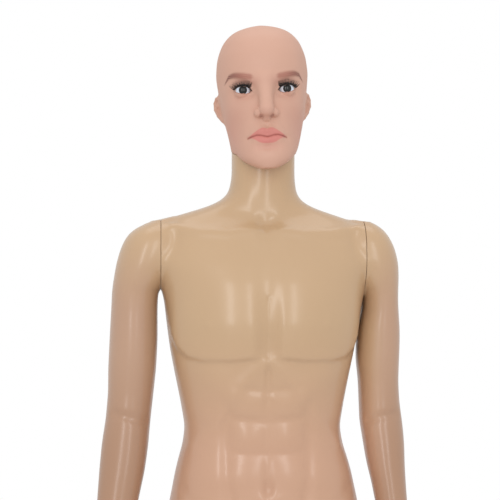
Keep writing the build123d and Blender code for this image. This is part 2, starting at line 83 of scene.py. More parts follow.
RIGHT_ARM = [
    (1525, -170, 16, -26, 34), (1517, -174, 33, -42, 52), (1502, -180, 44, -54, 62),
    (1482, -185, 49, -60, 67), (1456, -193, 49, -60, 67), (1430, -203, 44, -56, 62),
    (1411, -212, 38, -51, 58), (1380, -213, 38, -48, 56), (1330, -214, 39, -46, 55),
    (1285, -216, 39, -45, 51), (1245, -218, 37, -44, 45), (1200, -222, 36, -46, 40),
    (1160, -227, 37, -53, 32), (1120, -232, 36, -60, 20), (1075, -238, 33, -66, 4),
    (1030, -243, 30, -72, -14), (985, -248, 28, -80, -34), (950, -252, 28, -86, -44),
    (920, -255, 28, -92, -50),
]
LEFT_ARM = [
    (1525, 166, 14, -26, 34), (1517, 169, 27, -42, 52), (1502, 172, 35, -54, 62),
    (1482, 176, 40, -60, 67), (1456, 181, 41.5, -60, 67), (1430, 187, 37.5, -56, 62),
    (1411, 195, 29.5, -51, 58), (1380, 195, 29.5, -48, 56), (1350, 192, 33, -47, 55.5),
    (1325, 191, 33.5, -46, 55), (1297, 190, 33.5, -45.5, 52), (1264, 191, 32, -44.5, 48.5),
    (1231, 192, 32.5, -45.5, 45), (1198, 193.5, 33.5, -48, 42), (1165, 196, 31.5, -54, 35),
    (1132, 198.5, 29.5, -60, 24), (1099, 203, 27, -66, 12), (1060, 207, 25, -72.5, -4),
    (1020, 211, 23.5, -78.5, -20), (985, 214.5, 22.5, -84, -32), (950, 217.5, 21.5, -92, -38),
    (920, 220, 21.5, -98, -44),
]
LEG = [
    (1000, 84, 80, -94, 114), (950, 85, 80, -93, 117), (900, 86, 79, -90, 114),
    (850, 88, 79, -88, 103), (780, 92, 76, -85, 91), (700, 96, 70, -80, 80),
    (620, 99, 62, -74, 68), (560, 101, 56, -68, 58), (515, 102, 53, -65, 53),
    (470, 103, 52, -58, 57), (420, 104, 56, -52, 68), (365, 105, 57, -48, 74),
    (300, 106, 50, -44, 66), (230, 107, 41, -40, 51), (170, 108, 35, -38, 42),
    (125, 109, 33, -40, 42), (95, 109, 35, -48, 48), (60, 109, 34, -50, 54),
]
HEAD = [
    (-33, 0, 15, -97, -67), (-27, 0, 29, -101, -48), (-16, 0, 41.5, -102, -22),
    (-3, 0, 51, -102, 32), (14, 0, 56.5, -100, 60), (26, 0, 59.5, -98.5, 71),
    (38, 0, 62.5, -97, 78), (66, 0, 68.5, -96, 90), (98, 0, 73, -97, 96),
    (128, 0, 76.5, -99, 98), (156, 0, 73.5, -95, 93), (180, 0, 64.5, -84, 80),
    (198, 0, 48.5, -65, 61), (206.5, 0, 29.5, -42, 38), (209, 0, 13, -26, 22),
]


class Grid:
    """A box of sample points, its fields, and the pieces of it that a local feature reaches."""

    def __init__(self, low, high, step):
        self.step = step
        self.axes = [np.arange(a, b + step, step, dtype=np.float32) for a, b in zip(low, high)]
        self.low = np.array([axis[0] for axis in self.axes])
        self.shape = tuple(len(axis) for axis in self.axes)

    def points(self, where=(slice(None),) * 3):
        x, y, z = (axis[part] for axis, part in zip(self.axes, where))
        return x[:, None, None], y[None, :, None], z[None, None, :]

    def near(self, low, high):
        """The part of the grid inside a box, or None."""
        parts = []
        for axis, a, b in zip(self.axes, low, high):
            start, stop = np.searchsorted(axis, [a, b])
            if start >= stop:
                return None
            parts.append(slice(int(start), int(stop)))
        return tuple(parts)


def smooth_min(a, b, k):
    h = np.clip(0.5 + 0.5 * (b - a) / k, 0, 1)
    return b + (a - b) * h - k * h * (1 - h)


def smooth_max(a, b, k):
    return -smooth_min(-a, -b, k)


def step(low, high, value):
    t = np.clip((value - low) / (high - low), 0, 1)
    return t * t * (3 - 2 * t)


def lofted(grid, rows, squareness=2.25, soft=7.0):
    """Distance-like field of a stack of squared-off ellipses, smoothed along z."""
    table = np.array(sorted(rows), float)
    fine = np.arange(table[0, 0], table[-1, 0] + 1)
    reach = int(3 * soft)
    kernel = np.exp(-0.5 * (np.arange(-reach, reach + 1) / soft) ** 2)
    kernel /= kernel.sum()
    columns = []
    for column in table.T[1:]:
        values = np.interp(fine, table[:, 0], column)
        first, last = values[1] - values[0], values[-1] - values[-2]
        before = values[0] - first * np.arange(reach, 0, -1)
        after = values[-1] + last * np.arange(1, reach + 1)
        smooth = np.convolve(np.concatenate([before, values, after]), kernel, "valid")
        columns.append(np.interp(grid.axes[2], fine, smooth).astype(np.float32)[None, None, :])
    middle, half, front, back = columns
    x, y, z = grid.points()
    dx, dy = x - middle, y - (front + back) / 2
    deep = np.maximum((back - front) / 2, 1)
    ratio = (np.abs(dx / np.maximum(half, 1)) ** squareness + np.abs(dy / deep) ** squareness)
    ratio = np.maximum(ratio, 1e-4) ** (1 / squareness)
    field = np.sqrt(dx * dx + dy * dy) * (1 - 1 / ratio)
    return np.maximum(field, np.maximum(z - table[-1, 0], table[0, 0] - z))


def even(field, grid):
    """Makes a field's slope near 1, so that sums of features are in millimetres."""
    gx, gy, gz = np.gradient(field, grid.step)
    return field / np.clip(np.sqrt(gx * gx + gy * gy + gz * gz), 0.6, 3)


def to_segments(points, x, y, z):
    """Squared distance to a polyline, and how far along it the nearest point is, 0 to 1."""
    best = along = None
    for number, (a, b) in enumerate(zip(points, points[1:])):
        d = [q - p for p, q in zip(a, b)]
        length = sum(c * c for c in d)
        t = np.clip(((x - a[0]) * d[0] + (y - a[1]) * d[1] + (z - a[2]) * d[2]) / length, 0, 1)
        away = (x - a[0] - t * d[0]) ** 2 + (y - a[1] - t * d[1]) ** 2 + (z - a[2] - t * d[2]) ** 2
        share = (number + t) / (len(points) - 1)
        if best is None:
            best, along = away, share
        else:
            nearer = away < best
            best, along = np.where(nearer, away, best), np.where(nearer, share, along)
    return best, along


def mirrored(points):
    return [(-p[0], *p[1:]) for p in points]


def swell(field, grid, points, width, height, sides=1):
    """Raises (height > 0) or grooves the surface along a polyline, with a bell profile."""
    for line in (points, mirrored(points))[:sides]:
        low = np.min(line, axis=0) - 3.2 * width
        high = np.max(line, axis=0) + 3.2 * width
        where = grid.near(low, high)
        if where is None:
            continue
        away, _ = to_segments(line, *grid.points(where))
        field[where] -= height * np.exp(-0.5 * away / width**2)


def bulge(field, grid, centre, radii, height, sides=1):
    """Raises or hollows the surface round a centre, with a bell profile of three radii."""
    for sign in (1, -1)[:sides]:
        c = np.array([sign * centre[0], centre[1], centre[2]])
        r = np.array(radii, float)
        where = grid.near(c - 3 * r, c + 3 * r)
        if where is None:
            continue
        x, y, z = grid.points(where)
        away = ((x - c[0]) / r[0]) ** 2 + ((y - c[1]) / r[1]) ** 2 + ((z - c[2]) / r[2]) ** 2
        field[where] -= height * np.exp(-0.5 * away)


def limb(field, grid, points, radii, blend, cut=False):
    """Adds, or cuts, a chain of rounded cones, blended in over a few millimetres."""
    most = max(radii) + 3 * blend + 2 * grid.step
    where = grid.near(np.min(points, axis=0) - most, np.max(points, axis=0) + most)
    if where is None:
        return
    x, y, z = grid.points(where)
    shape = None
    for a, b, ra, rb in zip(points, points[1:], radii, radii[1:]):
        away, along = to_segments([a, b], x, y, z)
        cone = np.sqrt(away) - (ra + (rb - ra) * along)
        shape = cone if shape is None else smooth_min(shape, cone, 1.0)
    if cut:
        field[where] = smooth_max(field[where], -shape, blend)
    else:
        field[where] = smooth_min(field[where], shape, blend)


def relief(field, grid, lines=(), bulges=(), sides=1):
    """Every line of one table, then every bulge of another."""
    for points, width, height in lines:
        swell(field, grid, points, width, height, sides)
    for centre, radii, height in bulges:
        bulge(field, grid, centre, radii, height, sides)


def on_front(field, grid, x, z):
    """The surface at a place seen from the front, as a point."""
    i, k = (int(round((v - grid.low[n]) / grid.step)) for v, n in ((x, 0), (z, 2)))
    column = field[i, :, k]
    j = max(int(np.argmax(column < 0)), 1)
    share = column[j - 1] / (column[j - 1] - column[j])
    return x, float(grid.axes[1][j - 1] + share * grid.step), z


def surface(field, grid):
    """Points and quads of the field's zero surface, by surface nets."""
    inside = field < 0
    corners = [(i, j, k) for i in (0, 1) for j in (0, 1) for k in (0, 1)]
    nx, ny, nz = (n - 1 for n in grid.shape)

    def corner(values, i, j, k):
        return values[i : nx + i, j : ny + j, k : nz + k]

    count = sum(corner(inside, *c).astype(np.int8) for c in corners)
    mixed = (count > 0) & (count < 8)
    cells = np.argwhere(mixed)
    number = np.full(mixed.shape, -1, np.int64)
    number[mixed] = np.arange(len(cells))
    total, hits = np.zeros((len(cells), 3)), np.zeros(len(cells))
    for axis in range(3):
        for a in (c for c in corners if c[axis] == 0):
            b = tuple(v + (n == axis) for n, v in enumerate(a))
            fa, fb = corner(field, *a)[mixed], corner(field, *b)[mixed]
            cross = (fa < 0) != (fb < 0)
            t = np.where(cross, fa / np.where(cross, fa - fb, 1), 0)
            place = np.array(a) + t[:, None] * np.eye(3)[axis]
            total += place * cross[:, None]
            hits += cross
    points = (cells + total / hits[:, None]) * grid.step + grid.low
    quads = []
    for axis in range(3):
        u, v = (axis + 1) % 3, (axis + 2) % 3
        first, second = [slice(None)] * 3, [slice(None)] * 3
        first[axis], second[axis] = slice(0, -1), slice(1, None)
        a, b = inside[tuple(first)], inside[tuple(second)]
        edges = np.argwhere(a != b)
        keep = (edges[:, u] > 0) & (edges[:, v] > 0) & (edges[:, u] < grid.shape[u] - 1)
        edges = edges[keep & (edges[:, v] < grid.shape[v] - 1)]
        ring = []
        for du, dv in ((-1, -1), (0, -1), (0, 0), (-1, 0)):
            cell = edges.copy()
            cell[:, u] += du
            cell[:, v] += dv
            ring.append(number[tuple(cell.T)])
        ring = np.stack(ring, axis=1)
        out = a[tuple(edges.T)]
        quads.append(np.where(out[:, None], ring, ring[:, ::-1]))
    return points, np.concatenate(quads)


def sample(field, grid, points):
    """The field at any points, by trilinear interpolation."""
    at = (points - grid.low) / grid.step
    cell = np.clip(np.floor(at).astype(int), 0, np.array(grid.shape) - 2)
    t = np.clip(at - cell, 0, 1)
    value = 0
    for i in (0, 1):
        for j in (0, 1):
            for k in (0, 1):
                share = np.prod(np.where([i, j, k], t, 1 - t), axis=1)
                value = value + share * field[cell[:, 0] + i, cell[:, 1] + j, cell[:, 2] + k]
    return value


def settle(points, quads, field, grid, rounds=3):
    """Evens the points out over the surface, and puts them back on it."""
    pairs = np.concatenate([quads[:, [n, (n + 1) % 4]] for n in range(4)])
    pairs = np.concatenate([pairs, pairs[:, ::-1]])
    degree = np.bincount(pairs[:, 0], minlength=len(points))[:, None]
    small = grid.step * 0.5
    for _ in range(rounds):
        sums = [np.bincount(pairs[:, 0], points[pairs[:, 1], n], len(points)) for n in range(3)]
        mean = np.stack(sums, axis=1) / degree
        points = points + 0.6 * (mean - points)
        for _ in range(2):
            value = sample(field, grid, points)
            rises = [
                sample(field, grid, points + small * e) - sample(field, grid, points - small * e)
                for e in np.eye(3)
            ]
            slope = np.stack(rises, axis=1) / (2 * small)
            size = np.maximum((slope**2).sum(axis=1), 0.05)
            move = -(value / size)[:, None] * slope
            points = points + np.clip(move, -grid.step, grid.step)
    return points


# ------------------------------------------------------------------ meshes
def new_object(name, mesh, body, replaces=()):
    thing = bpy.data.objects.new(name, mesh)
    bpy.context.collection.objects.link(thing)
    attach(thing, body)
    if replaces:
        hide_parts(*replaces)


def finished(name, work, look):
    """A bmesh as a mesh with one material."""
    mesh = bpy.data.meshes.new(name)
    work.to_mesh(mesh)
    work.free()
    mesh.materials.append(look)
    return mesh


def place(point):
    """A figure point in millimetres as a frame point in metres."""
    return Vector((point[0] * MM, (point[1] + PLUMB_Y) * MM, point[2] * MM))


def cut(work, origin, normal, lip=0.0, depth=0.0, rib=0.0, over=-1.0):
    """Cuts a bmesh at a plane, drops what is in front of it, and closes the end.
    With a lip the end is a shell's open mouth: an even rim round a recess of that depth.
    A rib stands up from the middle of the rim. Only what is higher than over is cut."""
    faces = [face for face in work.faces if min(v.co.z for v in face.verts) > over]
    edges = {edge for face in faces for edge in face.edges}
    verts = {vert for face in faces for vert in face.verts}
    geometry = [*sorted(verts, key=lambda v: v.index), *sorted(edges, key=lambda e: e.index), *faces]
    found = bmesh.ops.bisect_plane(
        work, geom=geometry, plane_co=origin, plane_no=normal, clear_outer=True, dist=1e-7
    )
    rim = [e for e in found["geom_cut"] if isinstance(e, bmesh.types.BMEdge)]
    faces = bmesh.ops.edgeloop_fill(work, edges=rim)["faces"]
    for face in faces:
        face.smooth = False
        face.normal_update()
        if face.normal.dot(normal) < 0:
            face.normal_flip()
    steps = ((lip / 2, rib), (lip / 2, -depth - rib)) if rib else ((lip, -depth),)
    for inward, rise in steps if lip else ():
        bmesh.ops.inset_region(work, faces=faces, thickness=inward, use_even_offset=True)
        faces = bmesh.ops.extrude_discrete_faces(work, faces=faces)["faces"]
        moved = {v for face in faces for v in face.verts}
        bmesh.ops.translate(work, verts=list(moved), vec=rise * Vector(normal))


def keep_largest(work):
    """Drops every loose island but the largest."""
    left, islands = set(work.verts), []
    while left:
        seed = left.pop()
        island, edge = {seed}, [seed]
        while edge:
            vert = edge.pop()
            for link in vert.link_edges:
                other = link.other_vert(vert)
                if other in left:
                    left.discard(other)
                    island.add(other)
                    edge.append(other)
        islands.append(island)
    islands.sort(key=len)
    for island in islands[:-1]:
        bmesh.ops.delete(work, geom=list(island), context="VERTS")


UPRIGHT = Matrix.Translation((0, PLUMB_Y * MM, 0))


def moulded(name, field, grid, body, cuts=(), replaces=(), slot=None, matrix=UPRIGHT, paint=None):
    """The field's surface as one painted piece, cut at the given planes."""
    points, quads = surface(field, grid)
    points = settle(points, quads, field, grid)
    mesh = bpy.data.meshes.new(name)
    turn, origin = np.array(matrix.to_3x3()), np.array(matrix.translation)
    places = points @ turn.T * MM + origin
    if matrix.determinant() < 0:
        quads = quads[:, ::-1]
    mesh.from_pydata(places.tolist(), [], quads.tolist())
    work = bmesh.new()
    work.from_mesh(mesh)
    for face in work.faces:
        face.smooth = True
    for cutting in cuts:
        cut(work, *cutting)
    keep_largest(work)
    bmesh.ops.remove_doubles(work, verts=work.verts, dist=2e-5)
    work.to_mesh(mesh)
    work.free()
    new_object(name, mesh, body, replaces)
    mesh.materials.append(looks[slot])
    count = len(mesh.vertices)
    at = np.empty(count * 3)
    mesh.vertices.foreach_get("co", at)
    local = (at.reshape(-1, 3) - origin) @ np.linalg.inv(turn).T / MM
    colour = np.concatenate([paint(local), np.ones((count, 1))], axis=1)
    layer = mesh.color_attributes.new("paint", "FLOAT_COLOR", "POINT")
    layer.data.foreach_set("color", colour.astype(np.float32).ravel())


def tube_mesh(work, line, radii, sides):
    """Adds a closed tapering tube along a line to a bmesh."""
    line = [Vector(p) for p in line]
    rings = []
    for number, point in enumerate(line):
        way = line[min(number + 1, len(line) - 1)] - line[max(number - 1, 0)]
        across = way.orthogonal().normalized()
        other = way.cross(across).normalized()
        ring = []
        for n in range(sides):
            angle = 2 * math.pi * n / sides
            out = math.cos(angle) * across + math.sin(angle) * other
            ring.append(work.verts.new(point + radii[number] * out))
        rings.append(ring)
    for a, b in zip(rings, rings[1:]):
        for n in range(sides):
            work.faces.new((a[n], a[(n + 1) % sides], b[(n + 1) % sides], b[n])).smooth = True
    work.faces.new(list(reversed(rings[0])))
    work.faces.new(rings[-1])


# ------------------------------------------------------------------ materials
def material(name, colour, rough, metal=0.0, coat=0.0, coat_rough=0.1, tint=0.04, scale=14.0,
             grain=0.0, grain_scale=900.0, rough_spread=0.06):
    """A node material with slow colour variation, uneven gloss and a fine surface grain.
    Without a colour it shows the colours painted on the mesh."""
    made = bpy.data.materials.new(name)
    made.use_nodes = True
    nodes, links = made.node_tree.nodes, made.node_tree.links
    shader = nodes["Principled BSDF"]
    where = nodes.new("ShaderNodeTexCoord").outputs["Object"]

    def noise(size, detail=3.0):
        node = nodes.new("ShaderNodeTexNoise")
        node.inputs["Scale"].default_value = size
        node.inputs["Detail"].default_value = detail
        links.new(where, node.inputs["Vector"])
        return node.outputs["Fac"]

    def between(low, high, size):
        node = nodes.new("ShaderNodeMapRange")
        node.inputs["To Min"].default_value = low
        node.inputs["To Max"].default_value = high
        links.new(noise(size), node.inputs["Value"])
        return node.outputs["Result"]

    vary = nodes.new("ShaderNodeMix")
    vary.data_type = "RGBA"
    vary.blend_type = "MULTIPLY"
    vary.inputs["Factor"].default_value = 1
    if colour is None:
        source = nodes.new("ShaderNodeAttribute")
        source.attribute_name = "paint"
        links.new(source.outputs["Color"], vary.inputs["A"])
    else:
        vary.inputs["A"].default_value = (*colour, 1)
    links.new(between(1 - tint, 1 + tint, scale), vary.inputs["B"])
    links.new(vary.outputs["Result"], shader.inputs["Base Color"])
    gloss = between(max(rough - rough_spread, 0.02), rough + rough_spread, scale * 2.3)
    links.new(gloss, shader.inputs["Roughness"])
    shader.inputs["Metallic"].default_value = metal
    shader.inputs["Coat Weight"].default_value = coat
    shader.inputs["Coat Roughness"].default_value = coat_rough
    if grain:
        bump = nodes.new("ShaderNodeBump")
        bump.inputs["Strength"].default_value = grain
        bump.inputs["Distance"].default_value = 0.0004
        links.new(noise(grain_scale, 2.0), bump.inputs["Height"])
        links.new(bump.outputs["Normal"], shader.inputs["Normal"])
    return made


looks = {
    "body_shell": material("moulded_skin", None, 0.30, coat=0.25, coat_rough=0.14, tint=0.03,
                           scale=5.0, rough_spread=0.05),
    "face": material("face_paint", None, 0.55, tint=0.02, scale=30.0, grain=0.12,
                     grain_scale=1500.0, rough_spread=0.05),
    "joint_plate": material("joint_plastic", (0.78, 0.76, 0.70), 0.4, grain=0.15),
    "steel": material("turned_steel", (0.60, 0.60, 0.62), 0.3, metal=1.0, tint=0.08, scale=60.0,
                      grain=0.2, grain_scale=700.0),
    "mat": material("mat_rubber", (0.02, 0.02, 0.02), 0.75, grain=0.4, grain_scale=500.0),
    "lash": material("lash_fibre", (0.008, 0.007, 0.007), 0.5, tint=0.2, scale=300.0),
    "eye": material("eye_gloss", None, 0.10, tint=0.01, scale=200.0, rough_spread=0.02),
}
slot_of = {row["node"]: row["material_slot"] for row in frame["record"]["subparts"]}
for node, thing in frame["nodes"].items():
    thing.data.materials.clear()
    thing.data.materials.append(looks[slot_of[node]])


# ------------------------------------------------------------------ body
TAN_SKIN = np.array([0.600, 0.405, 0.240])
PINK_SKIN = np.array([0.630, 0.375, 0.250])
# The two arm tones are the skin darkened as painted shade: the arms, and more so the forearms and hands.
SHADED_ARM_SKIN = np.array([0.540, 0.335, 0.225])
SHADED_FOREARM_SKIN = np.array([0.455, 0.262, 0.165])


def body_paint(at):
    """The moulding is tan over the chest and a little pinker down the torso and legs. The arms are painted
    darker, and the forearms and hands darker still, as painted shade.
    """
    low = step(1370, 1130, at[:, 2])[:, None]
    # Painted shade: the arms hanging at the sides are darkened.
    arm = (step(162, 200, np.abs(at[:, 0])) * step(1520, 1360, at[:, 2]))[:, None]
    colour = TAN_SKIN + low * (PINK_SKIN - TAN_SKIN)
    # The forearms get more of the painted shade.
    fore = step(1330, 1130, at[:, 2])[:, None]
    return colour + arm * (SHADED_ARM_SKIN + fore * (SHADED_FOREARM_SKIN - SHADED_ARM_SKIN) - colour)


# Lower edge of a chest plate: distance from the middle, height.
CHEST_EDGE = ([0, 60, 104, 128, 144, 153, 160], [1306, 1300, 1300, 1305, 1319, 1340, 1375])


def chest(field, grid):
    """Two flat chest plates: a straight firm lower edge, turned up at the side, soft elsewhere."""
    x, y, z = grid.points()
    for side in (-1, 1):
        across = side * x
        under = np.interp(across, *CHEST_EDGE)
        inside = step(-5, 5, z - under) * step(4, 26, across) * step(160, 148, across)
        height = 6.0 * (1 - step(1325, 1440, z))
        field -= inside * height * step(0, -45, y)


def torso_shape(grid):
    return even(lofted(grid, TORSO, TORSO_SQUARE), grid)


def arm_shape(grid, rows):
    return even(lofted(grid, rows, ARM_SQUARE), grid)


def body(grid, arm=None):
    """The torso, or one arm, each blended into the other above the armpits."""
    z = grid.points()[2]
    blend = 3 + 15 * step(1422, 1462, z)
    apart = 60 * step(1405, 1375, z)
    if arm:
        field = smooth_min(arm_shape(grid, arm), torso_shape(grid) + apart, blend)
    else:
        field = torso_shape(grid)
        for rows in (RIGHT_ARM, LEFT_ARM):
            field = smooth_min(field, arm_shape(grid, rows) + apart, blend)
    chest(field, grid)
    return field


# Rounded muscles: centre, three radii, height. Each is on both sides of the figure.
BODY_BULGES = [
    ((20, -76, 1500), (12, 12, 12), 2.5), ((146, -58, 1487), (10, 14, 14), -3.0),
    ((60, -50, 1536), (26, 14, 10), -3.0), ((95, -98, 1357), (3.5, 8, 3.5), 1.6),
    ((84, -88, 1276), (24, 30, 20), 4.5), ((60, -98, 1246), (14, 20, 16), 2.5),
    ((31, -99, 1229), (15, 22, 15), 3.6), ((31, -97, 1179), (16, 22, 15), 3.8),
    ((31, -99, 1120), (18, 22, 22), 3.0), ((74, -84, 1118), (24, 24, 18), 3.5),
    ((112, -20, 1118), (22, 44, 26), 4.0), ((142, 26, 1345), (16, 46, 58), 3.0),
    ((58, -112, 1378), (34, 26, 52), 3.5), ((70, 108, 1425), (34, 20, 46), 6.0),
    ((48, 84, 1530), (28, 22, 24), 3.5), ((74, 116, 945), (46, 40, 52), 8.0),
    ((120, 96, 960), (16, 30, 34), -3.0), ((34, 96, 1035), (7, 12, 8), -3.0),
    ((26, 84, 1200), (13, 20, 80), 4.0),
    ((206, -6, 1466), (20, 40, 32), 3.0), ((228, 0, 1398), (14, 26, 26), -2.0),
    ((212, -34, 1325), (20, 22, 48), 4.0), ((214, 44, 1345), (22, 22, 56), 4.0),
    ((236, 10, 1335), (8, 12, 60), -2.2), ((222, 40, 1208), (12, 12, 14), 3.0),
    ((240, -10, 1165), (16, 26, 36), 3.0), ((212, -32, 1150), (18, 24, 40), 2.5),
]
# Ridges and grooves: points along it, width, height. Each is on both sides of the figure.
BODY_LINES = [
    ([(12, -72, 1512), (60, -71, 1503), (108, -62, 1506), (148, -45, 1517)], 7.5, 3.6),
    ([(18, -60, 1526), (26, -54, 1556), (42, -30, 1612)], 9.0, 1.2),
    ([(4, -110, 1302), (10, -106, 1236)], 3.0, 1.4),
    ([(10, -108, 1296), (42, -104, 1262), (80, -85, 1208), (112, -50, 1166)], 8.0, 3.0),
    ([(62, -88, 1232), (66, -86, 1180), (64, -88, 1110), (52, -92, 1045)], 7.5, -3.6),
    ([(7, -100, 1253), (50, -97, 1258)], 5.0, -2.2),
    ([(7, -98, 1204), (52, -94, 1207)], 5.0, -2.4),
    ([(7, -98, 1152), (52, -94, 1152)], 5.0, -2.0),
    ([(122, -48, 1092), (88, -80, 1040), (48, -98, 975), (20, -100, 915)], 8.0, -4.5),
    ([(46, 100, 1372), (100, 96, 1362)], 9.0, -3.0),
    ([(48, 116, 872), (84, 114, 866), (124, 92, 878)], 7.0, -2.2),
]
# The same along the figure's middle.
MIDDLE_LINES = [
    ([(0, -52, 1620), (0, -55, 1548)], 13.0, 2.2),
    ([(0, -102, 1492), (0, -112, 1410), (0, -114, 1322)], 17.0, -4.0),
    ([(0, -108, 1290), (0, -98, 1106)], 5.0, -2.4),
    ([(0, -96, 1080), (0, -98, 1000)], 6.0, -1.2),
    ([(0, 92, 1520), (0, 112, 1400), (0, 86, 1200), (0, 102, 1060)], 11.0, -6.5),
    ([(0, 122, 1006), (0, 126, 940), (0, 116, 892)], 6.5, -13.0),
]
MIDDLE_BULGES = [
    ((0, -64, 1521), (13, 16, 11), -8.0), ((0, -101, 1097), (5.0, 10, 8), -8.0),
    ((0, -100, 1083), (14, 12, 7), 2.5), ((0, -98, 905), (26, 30, 34), 15.0),
    ((0, -96, 1040), (60, 30, 40), 3.0),
]
ARM_LINES = [
    ([(-246, -40, 1214), (-206, -47, 1204), (-186, -30, 1200)], 5.0, -3.0),
    ([(216, -40, 1212), (186, -47, 1206), (166, -34, 1200)], 5.0, -2.6),
]
# Lines seen from the front: places (x, z), width, height.
FRONT_LINES = [
    ([(0, 1400), (0.5, 1352), (0, 1306)], 2.3, -2.0),
    ([(0, 1302), (-1, 1280), (0, 1236)], 3.0, -1.0),
]


def muscled(grid, arm=None):
    """The torso or an arm with its muscles, ridges and grooves."""
    field = body(grid, arm)
    relief(field, grid, BODY_LINES, sides=2)
    relief(field, grid, MIDDLE_LINES + ARM_LINES)
    if grid.axes[0][0] < 0 < grid.axes[0][-1]:
        for line, width, height in FRONT_LINES:
            swell(field, grid, [on_front(field, grid, x, z) for x, z in line], width, height)
    relief(field, grid, bulges=BODY_BULGES, sides=2)
    relief(field, grid, bulges=MIDDLE_BULGES)
    return field


# The left leg and foot. Chains are rounded cones: points, radii, blend. Toes come last.
LEG_BULGES = [
    ((84, -80, 760), (26, 24, 90), 4.0), ((118, -60, 700), (20, 30, 110), 3.5),
    ((78, -58, 570), (16, 20, 30), 4.0), ((126, -54, 585), (14, 20, 30), 2.5),
    ((103, -62, 508), (16, 14, 19), 5.0), ((82, -50, 505), (8, 14, 20), -3.0),
    ((124, -50, 505), (8, 14, 20), -3.0), ((102, -54, 462), (13, 12, 14), 3.0),
    ((86, 58, 385), (17, 20, 56), 5.0), ((122, 56, 395), (16, 20, 50), 4.0),
    ((103, 58, 510), (16, 16, 26), -4.0), ((90, 76, 700), (20, 24, 120), 3.0),
    ((122, 70, 690), (20, 26, 120), 3.0), ((77, -2, 112), (9, 12, 12), 5.0),
    ((141, 6, 104), (9, 12, 12), 5.0), ((92, 42, 150), (8, 14, 40), -3.0),
    ((126, 42, 150), (8, 14, 40), -3.0),
]
FOOT_CHAINS = [
    ([(109, 30, 37), (109, 12, 62)], [28, 30], 10),
    ([(108, -2, 76), (105, -62, 50), (102, -125, 31)], [30, 27, 20], 10),
    ([(122, 18, 28), (129, -58, 24), (130, -118, 23)], [20, 17, 15], 10),
    ([(91, -128, 28), (126, -116, 24)], [19, 15], 8),
    ([(90, -142, 25), (88, -187, 21)], [13, 12], 4), ([(106, -146, 22), (106, -188, 17)], [9, 8], 3),
    ([(118, -140, 21), (120, -180, 16.5)], [8.5, 7.5], 3),
    ([(129, -130, 20), (132, -169, 16)], [8, 7], 3),
    ([(139, -118, 19), (143, -153, 15.5)], [7.5, 6.5], 3),
]


def legs(grid):
    """The left leg and foot. The right leg is its mirror image."""
    field = even(lofted(grid, LEG, LEG_SQUARE), grid)
    for points, radii, blend in FOOT_CHAINS:
        limb(field, grid, points, radii, blend)
    relief(field, grid, bulges=LEG_BULGES)
    for toe, radii, _ in FOOT_CHAINS[4:]:
        x, y, z = toe[-1]
        nail = (x, y - radii[1] * 0.55, z + radii[1] * 0.7)
        bulge(field, grid, nail, (3.4, 3.4, 2.2), -0.8)
    return field


STEP_TORSO, STEP_LIMB, STEP_HEAD = ((3.3, 2.4, 1.45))
seam_normal = Vector((0, -math.sin(NECK_LEAN), math.cos(NECK_LEAN)))
seam_centre = place((0, NECK_Y, NECK_Z))
hip_normals = {s: Vector((s * math.sin(HIP_SLOPE), 0, -math.cos(HIP_SLOPE))) for s in (-1, 1)}

torso_grid = Grid((-182, -136, 828), (182, 146, 1668), STEP_TORSO)
torso_field = muscled(torso_grid)
hips = np.full(torso_grid.shape, 1e3, np.float32)
for rows in (LEG, [(r[0], -r[1], *r[2:]) for r in LEG]):
    hips = np.minimum(hips, even(lofted(torso_grid, rows, LEG_SQUARE), torso_grid))
height = torso_grid.points()[2]
joined = smooth_min(torso_field, hips + 40 * step(930, 1000, height), 10)
torso_field = np.where(height < 1000, joined, torso_field)


def arm_hole(side):
    """The torso's cut at an arm seam. The hips are wider than the seam and stay whole."""
    return place((SEAM_X[side], 0, 0)), Vector((side, 0, 0)), MOUTH, RECESS, RIB, SHOULDER_FROM


def hip_cut(side, off, keep):
    """A cut along the hip seam that keeps what is above it (keep 1) or below it (keep -1)."""
    return place((side * HIP_X, 0, HIP_Z + off)), keep * hip_normals[side]


moulded(
    "torso", torso_field, torso_grid, "figure",
    cuts=[
        arm_hole(1), arm_hole(-1), (seam_centre, seam_normal, MOUTH, RECESS),
        hip_cut(1, HIP_OVER, 1), hip_cut(-1, HIP_OVER, 1),
    ],
    replaces=["torso_shell"], slot="body_shell", paint=body_paint,
)

# ------------------------------------------------------------------ legs
for side, word in ((1, "left"), (-1, "right")):
    grid = Grid((-8, -218, 2), (182, 146, 996), STEP_LIMB * 1.15)
    field = legs(grid)
    upper = even(lofted(grid, [row for row in TORSO if row[0] < 1100], TORSO_SQUARE), grid)
    z = grid.points()[2]
    joined = smooth_min(field, upper + 60 * step(858, 836, z), 10)
    field = np.where(z > 800, joined, field)
    relief(field, grid, bulges=BODY_BULGES)
    relief(field, grid, BODY_LINES + MIDDLE_LINES)
    turn = UPRIGHT @ Matrix.Diagonal((side, 1, 1, 1))
    moulded(
        f"{word}_leg", field, grid, "figure", matrix=turn,
        cuts=[
            hip_cut(side, -HIP_UNDER, -1),
            (place((side * LEGS_APART, 0, 0)), Vector((-side, 0, 0))),
            (place((0, 0, FLOOR)), Vector((0, 0, -1))),
        ],
        replaces=[f"{word}_leg_shell"], slot="body_shell", paint=body_paint,
    )


# ------------------------------------------------------------------ arms and hands
def wrist_frame(rows, thumbward):
    """Where a wrist is, with its z axis down the forearm and its x axis towards the thumb."""
    centres = [Vector((r[1], (r[3] + r[4]) / 2, r[0])) for r in (rows[-8], rows[-2])]
    down = (centres[1] - centres[0]).normalized()
    across = (Vector(thumbward) - Vector(thumbward).dot(down) * down).normalized()
    made = Matrix((across, down.cross(across), down)).transposed().to_4x4()
    made.translation = place(centres[1])
    return made


